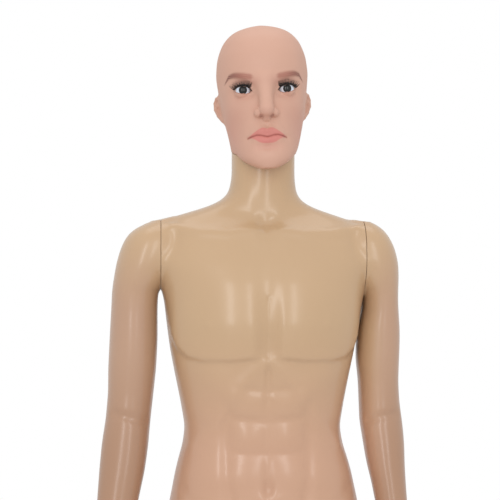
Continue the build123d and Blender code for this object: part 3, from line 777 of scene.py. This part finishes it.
WRISTS = {"right": wrist_frame(RIGHT_ARM, (1, 0, 0)), "left": wrist_frame(LEFT_ARM, (0, -1, 0))}
for word, side, rows, low, high in (
    ("right", -1, RIGHT_ARM, (-302, -112, 925), (-160, 92, 1532)),
    ("left", 1, LEFT_ARM, (148, -112, 925), (262, 92, 1532)),
):
    grid = Grid(low, high, STEP_LIMB)
    wrist = WRISTS[word]
    moulded(
        f"{word}_arm", muscled(grid, rows), grid, f"{word}_arm",
        cuts=[
            (place((SEAM_X[side] + side * GAP, 0, 0)), Vector((-side, 0, 0)), MOUTH, RECESS, 0, ARMPIT_FROM),
            (wrist.translation, Vector(wrist.col[2][:3]), WRIST_MOUTH, RECESS),
        ],
        replaces=[f"{word}_arm_shell"], slot="body_shell", paint=body_paint,
    )

# The hand's frame is the wrist's. Fingers: place across, length, radius at the tip.
PALM = [
    (-6, 0, 26.5, -21.5, 21.5), (6, 0, 27, -20.5, 21), (18, 0, 29, -19, 20), (36, 1, 34, -17, 18),
    (60, 2, 40, -15, 16), (84, 1, 41, -13, 14), (98, 0, 37, -9, 9), (104, 0, 33, -4, 4),
]
FINGERS = [(29, 74, 6.6), (10, 82, 6.8), (-9.5, 76, 6.6), (-28, 60, 5.9)]
BENDS = [(-0.3, 0), (0, 0), (0.45, 0.12), (0.75, 0.45), (1, 1)]  # share of length, of curl
KNUCKLE, CURL = 90.0, 22.0


def hand_field(grid):
    """A relaxed right hand, hanging down +z from the wrist, its thumb to +x and its palm to -y."""
    field = even(lofted(grid, PALM, 2.4, 5.0), grid)
    bulge(field, grid, (18, -13, 40), (14, 10, 22), 5)
    bulge(field, grid, (-22, -12, 46), (10, 10, 24), 4)
    bulge(field, grid, (0, -16, 62), (12, 8, 16), -3)
    for across, length, tip in FINGERS:
        points = [(across * (1 - 0.05 * r), -CURL * c, KNUCKLE + length * r) for r, c in BENDS]
        limb(field, grid, points, [8.0, 8.6, 7.9, 7.4, tip], 2.5)
        bulge(field, grid, (across, 9, KNUCKLE - 1), (7, 6, 8), 2.2)
        swell(field, grid, [(across, 14, 34), (across, 12, KNUCKLE - 8)], 3.2, 1.0)
        middle = (across * 0.98, -CURL * 0.12 + 6.5, KNUCKLE + 0.45 * length)
        bulge(field, grid, middle, (5, 4, 4), 0.8)
        nail = (across * 0.95, -CURL * 0.95 + tip * 0.95, KNUCKLE + length * 0.98)
        bulge(field, grid, nail, (3.6, 2.6, 5.0), 0.9)
    limb(field, grid, [(12, -3, 16), (34, -9, 46), (49, -15, 75), (56, -19, 97)], [12, 13, 9.8, 7.8], 7)
    bulge(field, grid, (59.5, -13, 99), (2.6, 3.6, 5), 0.9)
    return field


hand_grid = Grid((-50, -40, -8), (74, 32, 186), 1.5)
hand = hand_field(hand_grid)
for word, flip in (("right", 1), ("left", -1)):
    turn = WRISTS[word] @ Matrix.Diagonal((1, flip, 1, 1))
    down = Vector(turn.col[2][:3])
    moulded(
        f"{word}_hand_skin", hand, hand_grid, f"{word}_hand", matrix=turn,
        cuts=[(WRISTS[word].translation + GAP * MM * down, -down)],
        replaces=[f"{word}_hand"], slot="body_shell",
        # The hands take the forearms' painted shade.
        paint=lambda at: np.tile(SHADED_FOREARM_SKIN, (len(at), 1)),
    )


# ------------------------------------------------------------------ head
head_turn = Matrix.Rotation(HEAD_ROLL, 4, "Y") @ Matrix.Rotation(HEAD_YAW, 4, "Z")
head_turn.translation = place((HEAD_X, NECK_Y, NECK_Z))
EYE = np.array([35.3, -79.0, 93.0])  # centre of the left eyeball
EYE_R, LID_R = 12.0, 13.7
EAR_AT, EAR_SIZE, EAR_SPLAY = (68.5, 6.0, 76.0), 0.82, math.radians(27)
# The ear, in its own directions: points, radii, blend, and whether it is hollowed out.
EAR_CHAINS = [
    ([(6, 18, 0), (13, 8, 0.5), (12, -8, 0.5), (6, -20, 0)], [5, 7, 6, 4.5], 3, False),
    ([(-3, 6, 1.5), (-1, 18, 2.5), (6, 25, 3), (15, 25, 3), (22, 17, 3), (23, 4, 2.5), (18, -10, 2),
      (10, -21, 1.5)], [2.5, 3, 3.1, 3.1, 3.1, 3, 2.8, 3], 2.5, False),
    ([(15, 12, 2), (14, 2, 3), (10, -9, 2.5)], [2.6, 2.8, 2.4], 2.5, False),
    ([(5, -22, 0.5), (3, -26, 0)], [4.8, 3.6], 3, False),
    ([(-3, -5, 2), (-2, -10, 2)], [3.6, 3], 3, False),
    ([(5, 1, 7), (4, -9, 7)], [5.2, 4.8], 2, True),
    ([(9, 18, 7), (18, 8, 7.5)], [3, 3], 2, True),
]


def to_figure(points):
    """Head points as figure points."""
    turn, origin = np.array(head_turn.to_3x3()), (HEAD_X, NECK_Y, NECK_Z)
    return [sum(turn[n][m] * points[m] for m in range(3)) + origin[n] for n in range(3)]


def column(at):
    """Distance-like field of the top of the neck, which goes on up inside the jaw."""
    x, y, z = at
    ahead = y - 3 + 0.1 * (z - NECK_Z)
    ratio = (np.abs(x) / 52) ** 2.35 + (np.abs(ahead) / (55 - (z - NECK_Z) / 30)) ** 2.35
    radial = np.sqrt(x**2 + ahead**2) * (1 - np.maximum(ratio, 1e-4) ** (-1 / 2.35))
    return np.maximum(radial, z - NECK_Z - 55)


def ear_point(along, up, out):
    """A point of the left ear: backwards along it, up it, and out from its face."""
    back, side = math.cos(EAR_SPLAY), math.sin(EAR_SPLAY)
    along, up, out = along * EAR_SIZE, up * EAR_SIZE, out * EAR_SIZE
    return (
        EAR_AT[0] + side * along + back * out + (0.28 * up if up < 0 else 0),
        EAR_AT[1] + back * along - side * out + 0.18 * up,
        EAR_AT[2] + up - 0.1 * along,
    )


def lid_line(side_on, upper):
    """Height of a lid's edge over the eye's centre, across the eye (nose side negative)."""
    share = np.clip(np.abs(side_on) / 15.2, 0, 1)
    if upper:
        return 6.2 * (1 - share**2.4) + 0.07 * side_on - 0.2
    return -5.9 * (1 - share**2.2) + 0.07 * side_on - 0.2


def draw(field, grid, line, width, height):
    """Raises or grooves the face along a line seen from the front, on both sides."""
    for side in (1, -1):
        swell(field, grid, [on_front(field, grid, side * x, z) for x, z in line], width, height)


def face_field(grid):
    """The head with its face, ears and the hollow that clears the neck."""
    x, y, z = grid.points()
    field = even(lofted(grid, HEAD, 2.2, 6.0), grid)
    relief(field, grid, bulges=FACE_BULGES, sides=2)
    relief(field, grid, bulges=FACE_MIDDLE)
    bridge = [(0, -95, 103), (0, -101, 88), (0, -108.5, 72), (0, -112.5, 58.5)]
    limb(field, grid, bridge, [11, 10.5, 10.5, 11.5], 17)
    for side in (1, -1):
        limb(field, grid, [(side * 12.6, -103, 54), (side * 13.4, -99, 53)], [7.2, 6.6], 4.5)
        limb(field, grid, [(side * 8.6, -111, 44.5), (side * 9.2, -107, 50)], [2.5, 1.8], 1.3, cut=True)
    limb(field, grid, [(0, -108, 51.5), (0, -102, 45)], [4.6, 5.0], 4)
    for line, width, height in FACE_LINES:
        draw(field, grid, line, width, height)
    for side in (1, -1):
        where = grid.near((side * EYE[0] - 26, -120, EYE[2] - 22), (side * EYE[0] + 26, -50, EYE[2] + 22))
        px, py, pz = grid.points(where)
        across, up = side * px - EYE[0], pz - EYE[2]
        ball = np.sqrt(across**2 + (py - EYE[1]) ** 2 + up**2)
        part = smooth_min(field[where], ball - LID_R, 3.5)
        opening = np.maximum(up - lid_line(across, True), lid_line(across, False) - up)
        opening = np.maximum(opening, np.abs(across) - 15.0)
        slot = np.maximum(opening, py - EYE[1] + 2)
        part = smooth_max(part, -np.maximum(slot, EYE_R - 0.4 - ball), 1.2)
        field[where] = part
    ear = np.full(grid.shape, 60.0, np.float32)
    for side in (1, -1):
        for chain, radii, blend, hollow in EAR_CHAINS:
            points = [(side * a, b, c) for a, b, c in (ear_point(*p) for p in chain)]
            limb(ear, grid, points, radii, blend, hollow)
    field = smooth_min(field, ear, 5)
    fx, fy, fz = figure = to_figure((x, y, z))
    field = smooth_min(field, column(figure), 10)
    lean = (math.sin(NECK_LEAN), math.cos(NECK_LEAN))
    above = -(fy - NECK_Y) * lean[0] + (fz - NECK_Z) * lean[1]
    forward = (fy - NECK_Y) * lean[1] + (fz - NECK_Z) * lean[0]
    beside = np.sqrt(fx**2 + forward**2) - 63.0
    clear = np.maximum(above - GAP, beside)
    return np.maximum(field, -clear).astype(np.float32)


# Relief of the face on both sides: centre, three radii, height.
FACE_BULGES = [
    ((35, -90, 94), (16, 14, 10), -5.0), ((24, -97, 98), (8, 10, 12), -2.0),
    ((37, -90, 113), (20, 12, 6), 2.4), ((52, -70, 64), (17, 20, 12), 3.0),
    ((47, -70, 32), (14, 20, 18), -2.0), ((30, -94, 64), (12, 12, 12), 1.5),
    ((14, -102, 27), (12, 10, 10), 2.0), ((70, -54, 122), (12, 18, 18), -2.0),
    ((24, -90, -10), (14, 14, 12), 0.8), ((33, -92, 14), (3.2, 6, 3.2), -1.4),
    ((62, -62, 93), (8, 12, 12), 1.2), ((21.5, -98, 57), (3, 6, 5), -0.9),
]
FACE_MIDDLE = [
    ((0, -102, 110), (12, 10, 8), 1.0), ((0, -103, 17), (24, 14, 13), 3.0),
    ((0, -99, -17), (17, 12, 10), 3.5), ((0, -98, 150), (40, 30, 22), 1.0),
]
# Lines of the face as seen from the front: places (x, z), width, height.
FACE_LINES = [
    ([(24, 19.0), (15, 24.0), (8, 27.2), (0, 25.4)], 2.8, 2.2),
    ([(20, 12.4), (10, 10.2), (0, 9.8)], 4.0, 2.3),
    ([(31, 14.6), (23, 17.0), (17, 18.4), (10, 17.8), (5, 16.4), (0, 15.4)], 1.3, -1.6),
    ([(3.6, 41), (4.4, 32)], 1.9, 0.6),
    ([(0, 41), (0, 32)], 2.0, -0.8),
    ([(20, 44), (30, 28)], 3.5, -0.7),
    ([(21, 84), (35, 81.5), (49, 85)], 2.4, -0.8),
    ([(21, 103), (35, 106.5), (50, 102)], 1.7, -1.3),
    ([(15, -1), (0, -2)], 3.6, -1.6),
]

SKIN = np.array([0.680, 0.400, 0.300])
ROSE = np.array([0.660, 0.290, 0.240])
LIP = np.array([0.660, 0.215, 0.190])
# A dark red for painted shade in the parting of the lips and in the nostrils.
PAINTED_SHADE_RED = np.array([0.330, 0.070, 0.050])
BROW = np.array([0.215, 0.030, 0.018])
INK = np.array([0.012, 0.008, 0.008])


# Washes of colour on the face, blush and one painted shade under the lower lip: strength, centre, three
# radii, colour.
BLUSH_AND_SHADE = [
    (0.32, (60, -52, 26), (14, 34, 20), ROSE), (0.12, (48, -76, 58), (16, 20, 16), ROSE),
    # The second wash on the next line is painted shade in the crease under the lower lip, not blush.
    (0.15, (0, -114, 53), (13, 12, 9), ROSE), (0.35, (0, -104, 0), (16, 9, 4), ROSE),
    (0.35, (31, -92, 105), (18, 14, 6), ROSE * 0.9), (0.20, (35, -90, 82), (16, 12, 4), ROSE * 0.9),
]
# Lines of the lips and brows: distance from the middle, height.
LIP_TOP = ([0, 5, 9, 15, 22, 27, 31], [27.8, 29.8, 29.9, 26.8, 22.2, 18.4, 15.4])
LIP_LOW = ([0, 8, 14, 20, 26, 31], [4.8, 5.2, 7.4, 11.4, 14.2, 14.6])
PARTING = ([0, 5, 10, 17, 23, 31, 33.5], [15.4, 16.4, 17.8, 18.4, 17.0, 14.6, 13.8])
BROW_LINE = ([17, 28, 40, 50, 57, 64], [112.5, 114.2, 116.4, 118.2, 117.2, 107.5])
BROW_THICK = ([16, 22, 34, 46, 57, 64], [1.8, 3.7, 4.5, 4.2, 3.0, 1.0])
LIP_EDGE = 0.9


def bell(at, centre, radii):
    return np.exp(-0.5 * (((at - centre) / radii) ** 2).sum(axis=1))


def face_paint(at):
    """Paint of the head: blush, lips, brows, and shade round the eyes and nostrils. The parting of the lips,
    the crease under the lower lip and the nostrils are darkened as painted shade.
    """
    side = np.abs(at[:, 0])
    mirror = np.stack([side, at[:, 1], at[:, 2]], axis=1)
    front = step(-60, -85, at[:, 1])
    colour = np.tile(SKIN, (len(at), 1))

    def wash(share, tone):
        nonlocal colour
        colour = colour + np.clip(share, 0, 1)[:, None] * (tone - colour)

    for share, centre, radii, tone in BLUSH_AND_SHADE:
        wash(share * bell(mirror, centre, radii), tone)
    height = at[:, 2]
    parting = np.interp(side, *PARTING)
    lips = step(-LIP_EDGE, LIP_EDGE, np.interp(side, *LIP_TOP) - height)
    lips = lips * step(-LIP_EDGE, LIP_EDGE, height - np.interp(side, *LIP_LOW)) * step(31, 28, side) * front
    wash(0.85 * lips, LIP)
    wash(0.30 * lips * step(1, -2, height - parting) * step(26, 14, side), LIP * 1.05)
    # Painted shade: a dark line along the parting of the lips.
    line = np.exp(-0.5 * ((height - parting) / 0.95) ** 2) * step(33, 30.5, side) * front
    wash(0.95 * line, PAINTED_SHADE_RED)
    away = np.abs(height - np.interp(side, *BROW_LINE)) / np.interp(side, *BROW_THICK)
    brow = np.exp(-0.5 * away**4) * step(16, 24, side) * step(66, 61, side)
    streak = 0.62 + 0.38 * np.sin(height * 2.3 + side * 1.1 + 2 * np.sin(side * 0.5))
    shade = BROW * (1.25 - 0.6 * step(30, 58, side))[:, None]
    brow = brow * (0.70 + 0.30 * step(24, 54, side)) * (0.25 + 0.75 * streak)
    wash(brow * step(-35, -55, at[:, 1]), shade)
    across, up = side - EYE[0], height - EYE[2]
    close = step(17, 15, np.sqrt(across**2 + (at[:, 1] - EYE[1]) ** 2 + up**2)) * front
    rim = np.exp(-0.5 * ((up - lid_line(across, True) - 0.6) / 1.5) ** 2)
    wash(0.95 * rim * step(17.5, 15.5, np.abs(across)) * close, INK)
    rim = np.exp(-0.5 * ((up - lid_line(across, False)) / 0.8) ** 2)
    wash(0.45 * rim * step(16, 14, np.abs(across)) * close, BROW)
    # Painted shade inside the nostrils.
    wash(0.8 * bell(mirror, (9.0, -108, 46.5), (2.4, 5, 2.2)), PAINTED_SHADE_RED * 0.6)
    neck = column(to_figure(at.T))
    wash(step(2.4, 1.2, neck) * step(20, 10, height), TAN_SKIN)
    return colour


head_grid = Grid((-98, -134, -46), (98, 112, 214), STEP_HEAD)
moulded(
    "head", face_field(head_grid), head_grid, "head", matrix=head_turn,
    replaces=["head_shell"], slot="face", paint=face_paint,
)


def eyeball(side, word):
    """A round eye with its painted iris looking straight ahead, finest in front."""
    rings, spokes = 90, 96
    gaze = Vector((0.02 * side, -1, 0.0)).normalized()
    across = gaze.cross(Vector((0, 0, 1))).normalized()
    above = across.cross(gaze)
    centre = Vector((side * EYE[0], EYE[1], EYE[2]))
    work = bmesh.new()
    layer = work.verts.layers.float_color.new("paint")
    pole = work.verts.new(head_turn @ ((centre + gaze * EYE_R) * MM))
    loops = []
    for n in range(1, rings):
        polar = math.pi * (n / rings) ** 1.4
        out, ahead = math.sin(polar) * EYE_R, math.cos(polar) * EYE_R
        loop = []
        for m in range(spokes):
            angle = 2 * math.pi * m / spokes
            point = centre + gaze * ahead + (math.cos(angle) * across + math.sin(angle) * above) * out
            vert = work.verts.new(head_turn @ (point * MM))
            tone = eye_tone(out if polar < math.pi / 2 else EYE_R, angle)
            vert[layer] = (*tone, 1)
            loop.append(vert)
        loops.append(loop)
    pole[layer] = (*eye_tone(0, 0), 1)
    end = work.verts.new(head_turn @ ((centre - gaze * EYE_R) * MM))
    end[layer] = (*eye_tone(EYE_R, 0), 1)
    for m in range(spokes):
        n = (m + 1) % spokes
        work.faces.new((pole, loops[0][n], loops[0][m]))
        work.faces.new((end, loops[-1][m], loops[-1][n]))
        for a, b in zip(loops, loops[1:]):
            work.faces.new((a[m], a[n], b[n], b[m]))
    for face in work.faces:
        face.smooth = True
    bmesh.ops.recalc_face_normals(work, faces=work.faces)
    mesh = finished(f"{word}_eyeball", work, looks["eye"])
    new_object(f"{word}_eyeball", mesh, "head", [f"{word}_eye"])


IRIS_R, PUPIL_R = 6.5, 2.4
EYE_WHITE = (0.74, 0.80, 0.90)


def eye_tone(out, angle):
    """Colour of the eye at a distance from the gaze: pupil, ringed dark iris, cool white."""
    if out < PUPIL_R:
        return (0.004, 0.004, 0.005)
    if out < IRIS_R:
        spoke = 0.5 + 0.5 * math.sin(angle * 22 + 3 * math.sin(angle * 5))
        ringed = 0.5 + 0.5 * math.cos((out - 3.9) * 3.2)
        shade = 0.003 + 0.012 * ringed * (0.55 + 0.45 * spoke)
        if out > IRIS_R - 0.9:
            shade *= 0.25
        return (shade * 1.05, shade * 0.92, shade * 0.9)
    fade = min((out - IRIS_R) / 0.5, 1)
    return tuple(0.03 + fade * (w - 0.03) for w in EYE_WHITE)


def lashes(side, word):
    """False lashes: a thin band on the upper lid's edge with rows of tapering curved fibres."""
    random = np.random.default_rng(7 + side)
    work = bmesh.new()

    def lid_point(across, lift=0.0):
        up = float(lid_line(np.array(across), True)) + lift
        ahead = math.sqrt(max(LID_R**2 - across**2 - up**2, 4.0))
        return Vector((side * (EYE[0] + across), EYE[1] - ahead, EYE[2] + up))

    band = [lid_point(a, 0.5) for a in np.linspace(-14.0, 15.0, 40)]
    tube_mesh(work, [head_turn @ (p * MM) for p in band], [0.55 * MM] * len(band), 8)
    for count, long in ((90, 10.0), (80, 8.4)):
        for across in np.linspace(-13.6, 14.8, count):
            a = across + random.uniform(-0.35, 0.35)
            root = lid_point(a, 0.5)
            fan = 0.06 * a + random.uniform(-0.22, 0.22)
            length = long * (0.72 + 0.28 * math.cos(a / 15 * 1.2)) * random.uniform(0.78, 1.1)
            ahead, rise = random.uniform(0.55, 0.8), random.uniform(0.75, 1.05)
            line = []
            for n in range(7):
                t = n / 6
                line.append(root + length * Vector((
                    side * fan * t, -ahead * (t - 0.45 * t * t), rise * (0.35 * t + 0.55 * t * t),
                )))
            tube_mesh(work, [head_turn @ (p * MM) for p in line],
                      [MM * 0.36 * (1 - 0.85 * n / 6) for n in range(7)], 4)
    bmesh.ops.recalc_face_normals(work, faces=work.faces)
    mesh = finished(f"{word}_lashes", work, looks["lash"])
    new_object(f"{word}_lashes", mesh, "head", [f"{word}_eyelash"])


for side, word in ((1, "left"), (-1, "right")):
    eyeball(side, word)
    lashes(side, word)


# ------------------------------------------------------------------ stage, light and camera
def ground():
    """A wide pale floor."""
    work = bmesh.new()
    bmesh.ops.create_grid(work, x_segments=8, y_segments=8, size=6)
    paint = material("floor_paint", (0.82, 0.82, 0.82), 0.7, tint=0.01, scale=1.0, grain=0.05)
    thing = bpy.data.objects.new("floor", finished("floor", work, paint))
    bpy.context.collection.objects.link(thing)


def area_light(name, at, size, power):
    """A soft light aimed at the figure's middle."""
    data = bpy.data.lights.new(name, "AREA")
    data.shape = "RECTANGLE"
    data.size, data.size_y = size
    data.energy = power
    lamp = bpy.data.objects.new(name, data)
    bpy.context.collection.objects.link(lamp)
    lamp.location = at
    lamp.rotation_euler = (LIT - Vector(at)).to_track_quat("-Z", "Y").to_euler()


LIT = Vector((0, 0, 1.4))
# The world is white to the camera and a little dimmer to the surfaces it lights.
ground()
world = bpy.data.worlds.new("studio")
world.use_nodes = True
nodes, links = world.node_tree.nodes, world.node_tree.links
backdrop, world_out = nodes["Background"], nodes["World Output"]
backdrop.inputs["Strength"].default_value = 1.0
backdrop.inputs["Color"].default_value = (1, 1, 1, 1)
glow = nodes.new("ShaderNodeBackground")
glow.inputs["Color"].default_value = (1.0, 0.99, 0.98, 1)
glow.inputs["Strength"].default_value = 0.76
path, either = nodes.new("ShaderNodeLightPath"), nodes.new("ShaderNodeMixShader")
links.new(path.outputs["Is Camera Ray"], either.inputs[0])
links.new(glow.outputs[0], either.inputs[1])
links.new(backdrop.outputs[0], either.inputs[2])
links.new(either.outputs[0], world_out.inputs["Surface"])
bpy.context.scene.world = world
area_light("key", (-0.95, -2.62, 2.20), (0.45, 2.0), 13)
area_light("fill", (0.52, -2.75, 2.25), (0.45, 2.0), 10)
area_light("top", (0, 0.2, 3.6), (2.0, 1.2), 8)

AZIMUTH, DISTANCE, EYE_LEVEL = math.radians(-4.5), 2.3, 1.40
camera_data = bpy.data.cameras.new("camera")
camera = bpy.data.objects.new("camera", camera_data)
bpy.context.collection.objects.link(camera)
bpy.context.scene.camera = camera
camera_data.lens, camera_data.sensor_width = 100, 36
eye = Vector((math.sin(AZIMUTH) * DISTANCE, PLUMB_Y * MM - math.cos(AZIMUTH) * DISTANCE, EYE_LEVEL))
camera.location = eye
target = Vector((-0.022, PLUMB_Y * MM, 1.479))
camera.rotation_euler = (target - eye).to_track_quat("-Z", "Y").to_euler()
bpy.context.scene.view_settings.view_transform = "Standard"
